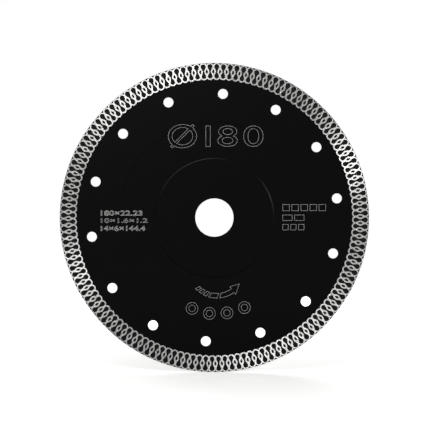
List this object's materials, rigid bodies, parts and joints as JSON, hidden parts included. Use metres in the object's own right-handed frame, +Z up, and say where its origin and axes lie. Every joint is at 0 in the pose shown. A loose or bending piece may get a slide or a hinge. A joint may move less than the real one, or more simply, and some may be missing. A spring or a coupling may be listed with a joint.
{
  "type": "diamond blade",
  "caption": "Thin round cutting disc for tile: steel core with a ring of cooling holes, stiffened centre and plain bore, and a sintered diamond rim with an X-mesh of ribs on both faces.",
  "frame": {"origin": "on the bore's axis, halfway through the core's thickness", "axes": "+Y along the bore's axis, from the marked front face to the back; +Z up as the marking reads; +X to the right, seen from the front"},
  "size_m": [0.18, 0.0018, 0.18],
  "materials": {
    "black_enamel": "satin black baked enamel on steel",
    "diamond_metal": "sintered metal with diamond grit, ribs ground bright, pockets painted black"
  },
  "bodies": {
    "root": {"steel_core": "black_enamel", "diamond_rim": "diamond_metal", "front_stiffener": "black_enamel", "back_stiffener": "black_enamel"}
  },
  "joints": []
}
